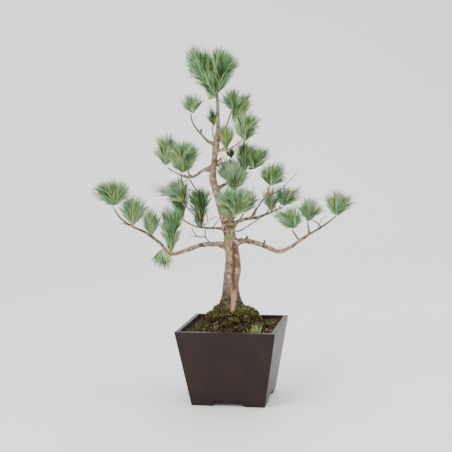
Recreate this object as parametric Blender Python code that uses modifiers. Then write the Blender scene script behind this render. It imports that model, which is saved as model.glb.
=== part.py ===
"""Potted white pine, grown as a small bonsai in a square stoneware pot.

The row's frame is the pot's own: front face towards -Y, +Z up, origin under the
middle of the pot. The tree is laid out in a planting frame (x right, y back,
z up, as the viewer sees it) that is turned a little in the pot.
"""
import math
import random
from typing import NamedTuple

import bmesh
import bpy
from mathutils import Vector
from mathutils.bvhtree import BVHTree

MM = 0.001
GAP = 0.3 * MM

# Pot: square, tapered, on four corner feet
POT_TOP_WIDTH = 155 * MM
POT_FOOT_WIDTH = 115 * MM
POT_HEIGHT = 118.5 * MM
POT_WALL = 7 * MM
POT_FLOOR = 9 * MM
POT_EDGE = 1.6 * MM
FOOT_HEIGHT = 8 * MM
FOOT_GAP_LOW = 50 * MM
FOOT_GAP_HIGH = 42 * MM
DRAIN_HOLE = 18 * MM

# Soil and the moss mound that the trunk stands in
SOIL_BELOW_RIM = 5 * MM
MOUND_RADIUS = 54 * MM
GROUND_RADIUS = 27 * MM
GROUND_LEVEL = 140 * MM

# The tree is turned this far in the pot, as seen from above
PLANTING_TURN = math.radians(11.1)

# Wood: how many steps a curve takes between stations, and sides beyond four, halved
STEPS = 2
TRUNK_ROUNDNESS = 5
BOUGH_ROUNDNESS = 1
# A bough that is made as two keeps straight for this far on each side of the bend
BEND_LEAD = 2 * MM

# Foliage solids
MASS_SIDES = 10
MASS_RINGS = 8
SEAT_RADIUS = 3.2 * MM
NECK_RADIUS = 3.8 * MM
UNEVEN = 0.11
# Share of the reach and of the height at each ring, from the neck to the top
BRUSH_PROFILE = ((0.42, 0.16), (0.78, 0.36), (1.0, 0.58), (0.92, 0.78), (0.58, 0.93), (0.0, 1.0))

# Trunk stations in mm: right, back, up, radius. Root flare, waist, bulges and leader
TRUNK = (
    (-3, 0, 140.3, 24), (-3, 0, 149, 21), (-3, 0, 160, 17), (-3, 1, 173, 14.2), (-2, 2, 188, 13),
    (1, 3, 206, 13.8), (1.5, 4, 220, 12.6), (-1, 4, 240, 11.6), (-4, 6, 264, 10.8), (-8, 7, 288, 11.4),
    (-15, 8, 305, 9.2), (-23, 8, 328, 7.1), (-28, 6, 350, 6.4), (-25, 4, 373, 5), (-21.5, 2, 402, 5.7),
    (-18.5, 0, 424, 3.5), (-18, -4, 460, 3.3), (-19, -6, 479, 2.5),
)


class Limb(NamedTuple):
    """One tapering limb: its route in mm, its radius where it leaves and where it ends."""

    name: str
    parent: str
    route: tuple
    thick: float
    thin: float
    split: int = 0


class Mass(NamedTuple):
    """One mass of needles: where it sits, its reach in mm each way, its neck and its axis."""

    name: str
    carrier: str
    base: tuple
    left: float
    right: float
    front: float
    back: float
    height: float
    neck: float = 2.0
    axis: tuple = (0, 0, 1)


# A limb with a split is made as two, inner and outer, that meet at that bend
LIMBS = (
    Limb("bough_left_low", "trunk", ((-5, 4, 241), (-27, -4, 245), (-47, -13, 245), (-70, -24, 239),
         (-93, -33, 235), (-110, -37, 252), (-131, -42, 269), (-150, -46, 279), (-167, -51, 292),
         (-178, -54, 310)), 4.7, 1.1, 5),
    Limb("bough_right_low", "trunk", ((0, 4, 245), (22, -4, 249), (47, -12, 243), (71, -22, 234),
         (89, -30, 241), (104, -37, 252), (118, -42, 262), (138, -50, 275), (157, -57, 290)), 5.0, 1.2, 4),
    Limb("bough_left_middle", "trunk", ((-6, 6, 267), (-28, 16, 268), (-47, 27, 268), (-64, 38, 272),
         (-80, 48, 281)), 2.4, 1.3),
    Limb("limb_left_inner", "bough_left_middle", ((-46, 26, 268), (-55, 25, 283), (-66, 27, 297),
         (-77, 30, 307)), 1.4, 1.0),
    Limb("bough_left_upper", "trunk", ((-27, 5, 361), (-42, 10, 360), (-54, 12, 352), (-64, 12, 348),
         (-73, 12, 353)), 3.1, 1.5),
    Limb("limb_left_upper_back", "bough_left_upper", ((-64, 12, 348), (-78, 26, 352), (-91, 34, 358),
         (-100, 36, 364)), 1.8, 1.1),
    Limb("bough_left_top", "trunk", ((-21.5, 2, 400), (-34, -6, 405), (-44, -12, 416), (-53, -16, 427),
         (-58, -18, 438), (-59, -18, 447)), 2.6, 1.2),
    Limb("bough_right_top", "trunk", ((-22, 3, 392), (-8, -8, 391), (5, -14, 396), (18, -18, 406)),
         2.0, 1.2),
    Limb("bough_crown_right", "trunk", ((-21, 2, 405), (-10, 10, 419), (-2, 14, 436), (3, 15, 451)),
         1.8, 1.1),
    Limb("bough_right_upper", "trunk", ((-23, 8, 330), (-4, 18, 339), (14, 24, 348), (28, 22, 354)),
         2.8, 1.5),
    Limb("bough_right_middle", "trunk", ((-4, 6, 272), (18, 12, 281), (40, 20, 283), (56, 26, 288),
         (71, 32, 293), (82, 36, 297)), 3.3, 1.4),
    Limb("limb_right_inner", "bough_right_middle", ((30, 16, 282), (44, 16, 303), (55, 18, 318),
         (61, 20, 332)), 1.7, 1.1),
    Limb("bough_front", "trunk", ((-7, 7, 280), (0, -18, 284), (5, -42, 290)), 2.6, 1.6),
    Limb("stem_right_low_inner", "bough_right_low_outer", ((103, -37, 252), (96, -38, 262), (92, -40, 268)),
         1.5, 1.1),
    Limb("stem_right_low_outer", "bough_right_low_outer", ((118, -42, 262), (116, -44, 273), (115, -46, 281)),
         1.5, 1.1),
    Limb("bough_front_upper", "trunk", ((-17, 8, 308), (-6, 2, 317), (5, -4, 326)), 1.9, 1.3),
    Limb("bough_back_upper", "trunk", ((-26, 5, 366), (-14, 14, 369), (-5, 22, 372), (0, 26, 375)), 1.6, 1.0),
    Limb("bough_back_low", "trunk", ((-3, 5, 258), (6, 32, 270), (14, 62, 276), (20, 80, 284)),
         3.2, 1.5),
    Limb("bough_back_middle", "trunk", ((-17, 8, 310), (-8, 34, 322), (-2, 56, 334)), 2.4, 1.3),
    Limb("bough_back_left", "bough_left_upper", ((-60, 12, 349), (-66, 34, 353), (-69, 62, 362)), 1.8, 1.1),
    Limb("bough_back_top", "trunk", ((-23, 4, 388), (-14, 22, 390), (-8, 38, 396)), 1.7, 1.1),
)

MASSES = (
    Mass("foliage_apex_left", "trunk", (-23, -7, 473), 23, 24, 24, 24, 86, 12, (-0.42, -0.05, 1)),
    Mass("foliage_apex_right", "trunk", (-19, -6, 480), 17, 37, 28, 26, 69, 10),
    Mass("foliage_left_tip", "bough_left_low_outer", (-179, -54, 314), 31, 27, 24, 24, 42),
    Mass("foliage_left_low_2", "bough_left_low_outer", (-150, -46, 281), 23, 27, 20, 22, 48, 8),
    Mass("foliage_left_low_3", "bough_left_low_outer", (-124, -41, 267), 16, 17, 18, 18, 42, 6),
    Mass("foliage_left_brush", "bough_left_low_inner", (-93, -33, 239), 15, 18, 17, 17, 79, 12),
    Mass("foliage_left_elbow", "bough_left_low_outer", (-104, -36, 240), 20, 16, 18, 18, 30, 2, (-0.1, -0.1, -1)),
    Mass("foliage_left_far", "limb_left_inner", (-78, 30, 311), 53, 2, 14, 16, 37, 6),
    Mass("foliage_left_dark", "bough_left_middle", (-84, 51, 285), 26, 12, 16, 20, 70, 16),
    Mass("foliage_left_inner", "bough_left_middle", (-50, 27, 270), 22, 20, 22, 18, 64, 22),
    Mass("foliage_left_upper", "bough_left_upper", (-75, 12, 356), 26, 30, 26, 20, 54, 4),
    Mass("foliage_left_upper_back", "limb_left_upper_back", (-102, 36, 367), 23, 20, 14, 24, 57, 4),
    Mass("foliage_left_top", "bough_left_top", (-59, -18, 450), 14, 20, 17, 17, 34),
    Mass("foliage_trunk_left", "trunk", (-24, 4, 428), 12, 6, 9, 14, 34, 6, (-0.25, 0.15, 1)),
    Mass("foliage_crown_right", "bough_crown_right", (4, 15, 454), 17, 17, 16, 13, 40),
    Mass("foliage_right_top_back", "bough_crown_right", (4, 20, 433), 13, 15, 13, 16, 60, 10, (0.8, 0.55, 1)),
    Mass("foliage_right_top", "bough_right_top", (22, -19, 409), 12, 33, 20, 20, 45),
    Mass("foliage_trunk_right", "bough_right_top", (-6, -8, 394), 10, 12, 10, 12, 38, 12),
    Mass("foliage_right_upper_small", "bough_back_upper", (1, 26, 378), 8, 8, 8, 9, 20),
    Mass("foliage_right_upper", "bough_right_upper", (20, 24, 354), 12, 32, 20, 20, 56, 14),
    Mass("foliage_right_upper_tip", "bough_right_upper", (40, 16, 358), 18, 38, 22, 20, 50),
    Mass("foliage_centre_upper", "bough_front_upper", (8, -6, 330), 18, 24, 20, 18, 47),
    Mass("foliage_centre", "bough_front", (5, -45, 294), 33, 30, 28, 20, 47),
    Mass("foliage_right_inner", "limb_right_inner", (62, 20, 335), 14, 36, 20, 22, 40),
    Mass("foliage_right_middle", "bough_right_middle", (62, 26, 293), 14, 16, 16, 16, 44, 10),
    Mass("foliage_right_middle_tip", "bough_right_middle", (85, 37, 299), 12, 36, 20, 22, 37),
    Mass("foliage_right_low_inner", "stem_right_low_inner", (91, -41, 271), 32, 20, 22, 20, 37),
    Mass("foliage_right_low_outer", "stem_right_low_outer", (115, -46, 284), 16, 24, 20, 20, 40),
    Mass("foliage_right_tip", "bough_right_low_outer", (159, -58, 292), 18, 28, 24, 22, 40),
    Mass("foliage_back_low", "bough_back_low", (24, 84, 288), 26, 28, 20, 24, 46),
    Mass("foliage_back_middle", "bough_back_middle", (-1, 59, 337), 24, 24, 18, 26, 46),
    Mass("foliage_back_left", "bough_back_left", (-70, 66, 364), 24, 22, 18, 24, 42),
    Mass("foliage_back_top", "bough_back_top", (-8, 41, 398), 13, 17, 16, 18, 36),
)


def material(name, colour, roughness):
    """A plain surface of one colour, given as sRGB hex."""
    value = bpy.data.materials.new(name)
    value.use_nodes = True
    shader = value.node_tree.nodes["Principled BSDF"]
    channels = [int(colour[i:i + 2], 16) / 255 for i in (0, 2, 4)]
    linear = [c / 12.92 if c <= 0.04045 else ((c + 0.055) / 1.055) ** 2.4 for c in channels]
    shader.inputs["Base Color"].default_value = (*linear, 1)
    shader.inputs["Roughness"].default_value = roughness
    return value


def make_object(name, mesh, collection, finish=None, smooth=True):
    """Put a mesh in the scene as a named object."""
    thing = bpy.data.objects.new(name, mesh)
    collection.objects.link(thing)
    if finish:
        mesh.materials.clear()
        mesh.materials.append(finish)
    if smooth:
        mesh.shade_smooth()
    return thing


def make_cutter(name, mesh):
    """An object that only shapes others."""
    cutter = make_object(name, mesh, cutters, smooth=False)
    cutter.hide_render = True
    cutter.display_type = "WIRE"
    return cutter


def applied(thing):
    """The mesh of an object with its modifiers worked out."""
    bpy.context.view_layer.update()
    evaluated = thing.evaluated_get(bpy.context.evaluated_depsgraph_get())
    return bpy.data.meshes.new_from_object(evaluated)


def drop(thing):
    """Remove an object and whatever data it held."""
    data = thing.data
    bpy.data.objects.remove(thing)
    (bpy.data.meshes if isinstance(data, bpy.types.Mesh) else bpy.data.curves).remove(data)


def subtract(thing, cutter, solver="EXACT"):
    """Cut one object by another and keep only its largest piece."""
    modifier = thing.modifiers.new("cut", "BOOLEAN")
    modifier.object = cutter
    modifier.operation = "DIFFERENCE"
    modifier.solver = solver
    result = applied(thing)
    thing.modifiers.remove(modifier)
    thing.data = result
    keep_largest(result)


def keep_largest(mesh):
    """Delete every loose piece of a mesh but the one with the most volume."""
    shape = bmesh.new()
    shape.from_mesh(mesh)
    bmesh.ops.remove_doubles(shape, verts=shape.verts, dist=0.01 * MM)
    left, pieces = set(shape.verts), []
    while left:
        piece, edge_of_search = set(), [left.pop()]
        while edge_of_search:
            vert = edge_of_search.pop()
            piece.add(vert)
            for edge in vert.link_edges:
                other = edge.other_vert(vert)
                if other in left:
                    left.discard(other)
                    edge_of_search.append(other)
        pieces.append(piece)
    pieces.sort(key=extent, reverse=True)
    loose = [vert for piece in pieces[1:] for vert in piece]
    bmesh.ops.delete(shape, geom=loose, context="VERTS")
    shape.to_mesh(mesh)
    shape.free()


def extent(verts):
    """The size of the box round some points."""
    low = Vector([min(v.co[i] for v in verts) for i in range(3)])
    high = Vector([max(v.co[i] for v in verts) for i in range(3)])
    return (high - low).length


def tapered_block(low_size, high_size, low_z, high_z):
    """A mesh of a block whose foot and top differ in width; each size is (x, y)."""
    shape = bmesh.new()
    bmesh.ops.create_cube(shape, size=1)
    for vert in shape.verts:
        size, z = (high_size, high_z) if vert.co.z > 0 else (low_size, low_z)
        vert.co = Vector((math.copysign(size[0] / 2, vert.co.x), math.copysign(size[1] / 2, vert.co.y), z))
    mesh = bpy.data.meshes.new("block")
    shape.to_mesh(mesh)
    shape.free()
    return mesh


def pot_width(z):
    """Outer width of the pot at a height."""
    return POT_FOOT_WIDTH + (POT_TOP_WIDTH - POT_FOOT_WIDTH) * z / POT_HEIGHT


def make_pot():
    """Four sloping walls with soft corners, a floor with a drain hole, and four feet."""
    over = 5 * MM
    body = tapered_block([pot_width(0)] * 2, [pot_width(POT_HEIGHT)] * 2, 0, POT_HEIGHT)
    pot = make_object("pot", body, parts, material("unglazed_stoneware", "2e1e18", 0.55), smooth=False)
    bevel = pot.modifiers.new("soft edges", "BEVEL")
    bevel.width = POT_EDGE
    bevel.segments = 2
    pot.data = applied(pot)
    pot.modifiers.clear()
    floor_top = FOOT_HEIGHT + POT_FLOOR
    inside = [[pot_width(z) - 2 * POT_WALL] * 2 for z in (floor_top, POT_HEIGHT + over)]
    hollow = make_cutter("pot_hollow", tapered_block(*inside, floor_top, POT_HEIGHT + over))
    subtract(pot, hollow)
    slope = (FOOT_GAP_LOW - FOOT_GAP_HIGH) / FOOT_HEIGHT
    low, high, across = FOOT_GAP_LOW + slope * over, FOOT_GAP_HIGH, POT_TOP_WIDTH
    for name, low_size, high_size in (("feet_gap_front", (low, across), (high, across)),
                                      ("feet_gap_side", (across, low), (across, high))):
        subtract(pot, make_cutter(name, tapered_block(low_size, high_size, -over, FOOT_HEIGHT)))
    shape = bmesh.new()
    bmesh.ops.create_cone(shape, cap_ends=True, segments=16, radius1=DRAIN_HOLE / 2,
                          radius2=DRAIN_HOLE / 2, depth=4 * POT_FLOOR)
    mesh = bpy.data.meshes.new("drain")
    shape.to_mesh(mesh)
    shape.free()
    subtract(pot, make_cutter("drain_hole", mesh))
    return pot


def make_soil():
    """The root ball that fills the pot, and the moss mound turned up round the trunk."""
    low_z, high_z = FOOT_HEIGHT + POT_FLOOR + GAP, POT_HEIGHT - SOIL_BELOW_RIM
    slack = 2 * POT_WALL + 3 * GAP
    block = tapered_block([pot_width(low_z) - slack] * 2, [pot_width(high_z) - slack] * 2, low_z, high_z)
    make_object("soil", block, parts, material("potting_soil", "33261b", 0.95), smooth=False)

    rise = GROUND_LEVEL - high_z - GAP
    profile = [(0, rise), (GROUND_RADIUS, rise), (0.66 * MOUND_RADIUS, 0.8 * rise),
               (0.86 * MOUND_RADIUS, 0.35 * rise), (MOUND_RADIUS, 0), (0, 0)]
    mesh = bpy.data.meshes.new("mound")
    mesh.from_pydata([(x, 0, high_z + GAP + z) for x, z in profile], [(i, i + 1) for i in range(5)], [])
    mound = make_object("moss_mound", mesh, parts, smooth=False)
    screw = mound.modifiers.new("turn", "SCREW")
    screw.steps = screw.render_steps = 20
    screw.use_merge_vertices = True
    screw.merge_threshold = 0.0001
    mound.data = applied(mound)
    mound.modifiers.clear()
    mound.data.materials.append(material("moss_on_soil", "3d4226", 0.95))


def smooth_path(stations, steps):
    """A soft curve through stations of any number of values, as Catmull and Rom draw it."""
    values = [Vector(s) for s in stations]
    ends = [2 * values[0] - values[1]] + values + [2 * values[-1] - values[-2]]
    path = []
    for a, b, c, d in zip(ends, ends[1:], ends[2:], ends[3:]):
        for step in range(steps):
            t = step / steps
            path.append(0.5 * (2 * b + (c - a) * t + (2 * a - 5 * b + 4 * c - d) * t ** 2
                               + (3 * b - a - 3 * c + d) * t ** 3))
    return path + [values[-1]]


def tube(name, path, grow=0.0):
    """A tapering tube mesh along (x, y, z, radius) points, with flat ends."""
    curve = bpy.data.curves.new(name, "CURVE")
    curve.dimensions = "3D"
    curve.bevel_depth = 1.0
    curve.bevel_resolution = TRUNK_ROUNDNESS if name.startswith("trunk") else BOUGH_ROUNDNESS
    curve.use_fill_caps = True
    spline = curve.splines.new("POLY")
    spline.points.add(len(path) - 1)
    for point, value in zip(spline.points, path):
        point.co = (*value[:3], 1)
        point.radius = value[3] + grow
    guide = bpy.data.objects.new(name, curve)
    cutters.objects.link(guide)
    mesh = applied(guide)
    drop(guide)
    shape = bmesh.new()
    shape.from_mesh(mesh)
    bmesh.ops.remove_doubles(shape, verts=shape.verts, dist=0.01 * MM)
    bmesh.ops.recalc_face_normals(shape, faces=shape.faces)
    bmesh.ops.triangulate(shape, faces=shape.faces)
    shape.to_mesh(mesh)
    shape.free()
    return mesh


def shifted(value, move):
    """A path point moved, with its radius kept."""
    return Vector((*(value.to_3d() + move), value[3]))


def room_round(name, path):
    """A cutter one gap larger than a tube, all round and at both ends."""
    along_in = (path[0] - path[1]).to_3d().normalized() * GAP
    along_out = (path[-1] - path[-2]).to_3d().normalized() * GAP
    grown = [shifted(path[0], along_in), *path[1:-1], shifted(path[-1], along_out)]
    return make_cutter(name + "_room", tube(name + "_room", grown, 1.1 * GAP))


def nearest_on(path, point):
    """The place on a path that is nearest to a point, with its radius, and the path's run there."""
    best = None
    for a, b in zip(path, path[1:]):
        start, run = a.to_3d(), (b - a).to_3d()
        share = min(1, max(0, (point - start).dot(run) / run.length_squared))
        place = a + share * (b - a)
        if best is None or (place.to_3d() - point).length < (best[0].to_3d() - point).length:
            best = (place, run.normalized())
    return best


def limb_path(limb, parent_path):
    """A limb's centre line and radii, from the middle of what carries it to its end."""
    route = [Vector(point) * MM for point in limb.route]
    route[0] = nearest_on(parent_path, route[0])[0].to_3d()
    last = len(route) - 1
    radii = [MM * (limb.thick + (limb.thin - limb.thick) * i / last) for i in range(last + 1)]
    return smooth_path([(*point, radius) for point, radius in zip(route, radii)], STEPS)


def make_wood():
    """The trunk, and every bough cut to the outside of what carries it."""
    bark = material("pine_bark", "8f8272", 0.85)
    paths = {"trunk": smooth_path([[value * MM for value in station] for station in TRUNK], STEPS)}
    make_object("trunk", tube("trunk", paths["trunk"]), parts, bark)
    for limb in LIMBS:
        path = limb_path(limb, paths[limb.parent])
        pieces = {limb.name: path}
        if limb.split:
            bend = (limb.split - 1) * STEPS
            along = (path[bend + 1] - path[bend - 1]).to_3d().normalized()
            ends = [shifted(path[bend], along * away) for away in (-BEND_LEAD, -GAP / 2, GAP / 2, BEND_LEAD)]
            pieces = {limb.name + "_inner": [*path[:bend], *ends[:2]],
                      limb.name + "_outer": [*ends[2:], *path[bend + 1:]]}
        for name, line in pieces.items():
            make_object(name, tube(name, line), parts, bark)
            paths[name] = line
        subtract(bpy.data.objects[next(iter(pieces))], room_round(limb.parent, paths[limb.parent]))
    return paths


def axes_of(direction):
    """Right, back and up vectors of a frame whose up is the given direction."""
    up = Vector(direction).normalized()
    right = (Vector((1, 0, 0)) - up * up.x).normalized()
    return right, up.cross(right), up


def seat_on(path, wanted):
    """Where a mass meets its carrier: past its tip, or on its side towards the wanted point."""
    place, run = nearest_on(path, wanted)
    if (place - path[-1]).length < 0.1 * MM:
        return place.to_3d() + run * GAP, run
    out = wanted - place.to_3d()
    out = (out - out.dot(run) * run).normalized()
    return place.to_3d() + out * (place[3] + GAP), out


def make_mass(mass, path, finish):
    """An uneven brush of needles: a flat seat, a neck, and a crown that opens above it."""
    draw = random.Random(mass.name)
    base, seat_up = seat_on(path, Vector(mass.base) * MM)
    seat_right, seat_back, seat_up = axes_of(seat_up)
    right, back, up = axes_of(mass.axis)
    shape = bmesh.new()
    bmesh.ops.create_uvsphere(shape, u_segments=MASS_SIDES, v_segments=MASS_RINGS, radius=1)
    for vert in shape.verts:
        from_top = math.acos(max(-1, min(1, vert.co.z))) / math.pi
        ring = round((1 - from_top) * MASS_RINGS)
        turn = math.atan2(vert.co.y, vert.co.x)
        x, y = math.cos(turn), math.sin(turn)
        if ring < 3:
            rise = (0, 0, mass.neck * MM)[ring]
            spread = (0, SEAT_RADIUS, NECK_RADIUS)[ring]
            vert.co = base + spread * (x * seat_right + y * seat_back) + rise * seat_up
            continue
        spread, rise = BRUSH_PROFILE[ring - 3]
        spread *= 1 + draw.uniform(-UNEVEN, UNEVEN)
        rise += draw.uniform(-UNEVEN, UNEVEN) / 2 if spread else 0
        reach_x = (mass.right if x > 0 else mass.left) * MM
        reach_y = (mass.back if y > 0 else mass.front) * MM
        height = (mass.neck + (mass.height - mass.neck) * rise) * MM
        vert.co = base + spread * (x * reach_x * right + y * reach_y * back) + height * up
    bmesh.ops.triangulate(shape, faces=shape.faces)
    mesh = bpy.data.meshes.new(mass.name)
    shape.to_mesh(mesh)
    shape.free()
    make_object(mass.name, mesh, parts, finish)
    lean = Vector((mass.right - mass.left, mass.back - mass.front, 0)) * MM / 2
    middle = base + (lean.x * right + lean.y * back) * 0.5 + up * mass.height * MM * 0.55
    return base, middle, (mass.left + mass.right + mass.front + mass.back) / 4


def touching(one, other):
    """Whether the surfaces of two meshes meet."""
    trees = []
    for thing in (one, other):
        mesh = thing.data
        trees.append(BVHTree.FromPolygons([v.co for v in mesh.vertices],
                                          [p.vertices for p in mesh.polygons]))
    return bool(trees[0].overlap(trees[1]))


def draw_apart(name, other, places):
    """Pull in the sides of two masses that meet, to a flat face between their middles."""
    middle, far = places[name][1], places[other][1]
    share = places[name][2] / (places[name][2] + places[other][2])
    across = (far - middle).normalized()
    for mass, sign in ((name, 1), (other, -1)):
        base, heart = places[mass][:2]
        limit = (middle + (far - middle) * share).dot(across) * sign - GAP / 2
        inward = limit - heart.dot(across) * sign
        for vert in bpy.data.objects[mass].data.vertices:
            beyond = (vert.co - heart).dot(across) * sign
            if beyond > inward and (vert.co - base).length > SEAT_RADIUS * 1.01:
                vert.co = heart + (vert.co - heart) * inward / beyond


def make_foliage(paths):
    """Every mass on its carrier, kept clear of its neighbours and cut round the wood."""
    needles = material("pine_needles", "5a7850", 0.6)
    places = {mass.name: make_mass(mass, paths[mass.carrier], needles) for mass in MASSES}
    names = [mass.name for mass in MASSES]
    for i, name in enumerate(names):
        for other in names[i + 1:]:
            if touching(bpy.data.objects[name], bpy.data.objects[other]):
                draw_apart(name, other, places)
    for name in names:
        mass = bpy.data.objects[name]
        for wood, path in paths.items():
            if wood in bpy.data.objects and touching(mass, bpy.data.objects[wood]):
                subtract(mass, room_round(wood, path), "MANIFOLD")


for old in list(bpy.data.objects):
    bpy.data.objects.remove(old)
parts = bpy.data.collections.new("potted_white_pine")
cutters = bpy.data.collections.new("cutters")
for collection in (parts, cutters):
    bpy.context.scene.collection.children.link(collection)

make_pot()
make_soil()
planting_turn = bpy.data.objects.new("planting_turn", None)
parts.objects.link(planting_turn)
planting_turn.rotation_euler.z = PLANTING_TURN
before = set(parts.objects)
make_foliage(make_wood())
for thing in set(parts.objects) - before:
    thing.parent = planting_turn
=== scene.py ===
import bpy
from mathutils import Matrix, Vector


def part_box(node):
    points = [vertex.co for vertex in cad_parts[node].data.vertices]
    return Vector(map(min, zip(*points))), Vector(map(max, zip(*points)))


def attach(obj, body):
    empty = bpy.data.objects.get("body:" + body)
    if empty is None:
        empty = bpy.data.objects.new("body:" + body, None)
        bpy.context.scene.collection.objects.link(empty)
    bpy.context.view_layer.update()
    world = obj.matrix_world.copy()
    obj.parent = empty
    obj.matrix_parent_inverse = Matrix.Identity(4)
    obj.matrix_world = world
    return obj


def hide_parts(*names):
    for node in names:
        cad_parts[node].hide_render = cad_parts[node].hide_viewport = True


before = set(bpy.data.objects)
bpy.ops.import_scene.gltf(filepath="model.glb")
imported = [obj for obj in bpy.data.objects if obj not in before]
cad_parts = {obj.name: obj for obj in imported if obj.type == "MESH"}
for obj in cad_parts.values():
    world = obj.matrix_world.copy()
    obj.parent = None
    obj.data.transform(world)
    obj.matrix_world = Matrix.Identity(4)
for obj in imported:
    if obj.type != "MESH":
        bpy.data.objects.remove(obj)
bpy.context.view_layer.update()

import math
import random

import bmesh
import bpy
from bpy.props import FloatProperty, FloatVectorProperty, PointerProperty
from mathutils import Matrix, Vector, noise
from mathutils.bvhtree import BVHTree

bl_info = {
    "name": "Potted White Pine",
    "version": (1, 0, 0),
    "blender": (4, 5, 0),
    "location": "View3D > Sidebar > Pine",
    "description": "Bark, twigs, needles, moss and a stoneware pot round the packed model of a small pine",
    "category": "Add Mesh",
}

BODY = "root"
MM = 0.001
PER_SQUARE_CM = 1e4

# The tree's own frame is turned this far in the pot's, as seen from above
PLANTING_TURN = math.radians(11.1)
TURN = Matrix.Rotation(PLANTING_TURN, 4, "Z")
BACK_TO_TREE = TURN.inverted()

# Camera, from the pot's corners in the photograph: place in metres in the tree's frame, and its angles
CAMERA_PLACE = (-0.0087, -1.553, 0.429)
CAMERA_PITCH, CAMERA_ROLL = math.radians(5.75), math.radians(-1.06)
CAMERA_LENS, CAMERA_SENSOR = 79.65, 36

# Studio, in metres: the floor's half width, where it ends behind, its bend and the height of its back
FLOOR_HALF, FLOOR_BACK, FLOOR_BEND, BACK_HEIGHT, BEND_STEPS = 4.0, 2.2, 0.6, 4.0, 12
SKY_COLOUR, SKY_STRENGTH = (0.98, 0.99, 1.0, 1), 1.6
LIGHT_AIM = Vector((0, 0, 0.28))
# Square soft lights: place and width in metres, and power in watts
LIGHTS = {
    "key": ((-1.2, -1.3, 1.9), 1.2, 42),
    "fill": ((1.9, -0.4, 1.0), 1.1, 16),
    "back": ((0.5, 1.4, 1.6), 1.0, 14),
}

# Bark: spacing of a tube's rings, sides of the trunk, a thick bough and a thin one
RING_SPACING = 1.3 * MM
TRUNK_SIDES, BOUGH_SIDES, LIMB_SIDES, TWIG_SIDES, SHOOT_SIDES, STRAND_SIDES = 84, 28, 16, 8, 6, 5
THICK_BOUGH = 3  # mm radius, from which a bough gets the finer ring
# Height of the ground at the trunk and of the root shoulders above it, in metres
GROUND_LEVEL, SHOULDER_HEIGHT = 0.140, 0.034
# The open split in the trunk's front: lower and upper end, and half its width, in metres
SPLIT_LOW, SPLIT_HIGH, SPLIT_HALF = 0.165, 0.255, 0.004
SPLIT_DEPTH = 2.2 * MM
# Collar of a limb: how much thicker it is, how far along it stays so and how soon it fades, in metres
COLLAR, COLLAR_START, COLLAR_FADE = 0.45, 0.009, 0.005

# Leafy shoots inside the tufts: radius at the foot, and how much thinner the end is
SHOOT_RADIUS, SHOOT_TAPER = 0.9 * MM, 0.35 * MM
STARTS_PER_SHOOT = 13

# Needles: how far the five of a bundle part, sag and bend, as shares of their length
NEEDLES_PER_BUNDLE = 5
NEEDLE_SPREAD, NEEDLE_DROOP, NEEDLE_BEND = 0.19, 0.04, 0.2
# A bundle under the first length gets the second, and needles this near a tuft's foot may have yellowed
SHORTEST_BUNDLE, STUB_BUNDLE, YELLOWED_FOOT = 9 * MM, 16 * MM, 12 * MM
POINTS_PER_NEEDLE, FACES_PER_NEEDLE = 7, 10
# Faces in one piece of needles, well under the 200,000 allowed
FACES_PER_PIECE = 150000

# Trunk stations in mm, in the tree's own frame: right, back, up, radius
TRUNK = (
    (-3, 0, 140.3, 24), (-3, 0, 149, 21), (-3, 0, 160, 17), (-3, 1, 173, 14.2), (-2, 2, 188, 13),
    (1, 3, 206, 13.8), (1.5, 4, 220, 12.6), (-1, 4, 240, 11.6), (-4, 6, 264, 10.8), (-8, 7, 288, 11.4),
    (-15, 8, 305, 9.2), (-23, 8, 328, 7.1), (-28, 6, 350, 6.4), (-25, 4, 373, 5), (-21.5, 2, 402, 5.7),
    (-18.5, 0, 424, 3.5), (-18, -4, 460, 3.3), (-19, -6, 479, 2.5),
)

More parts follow.
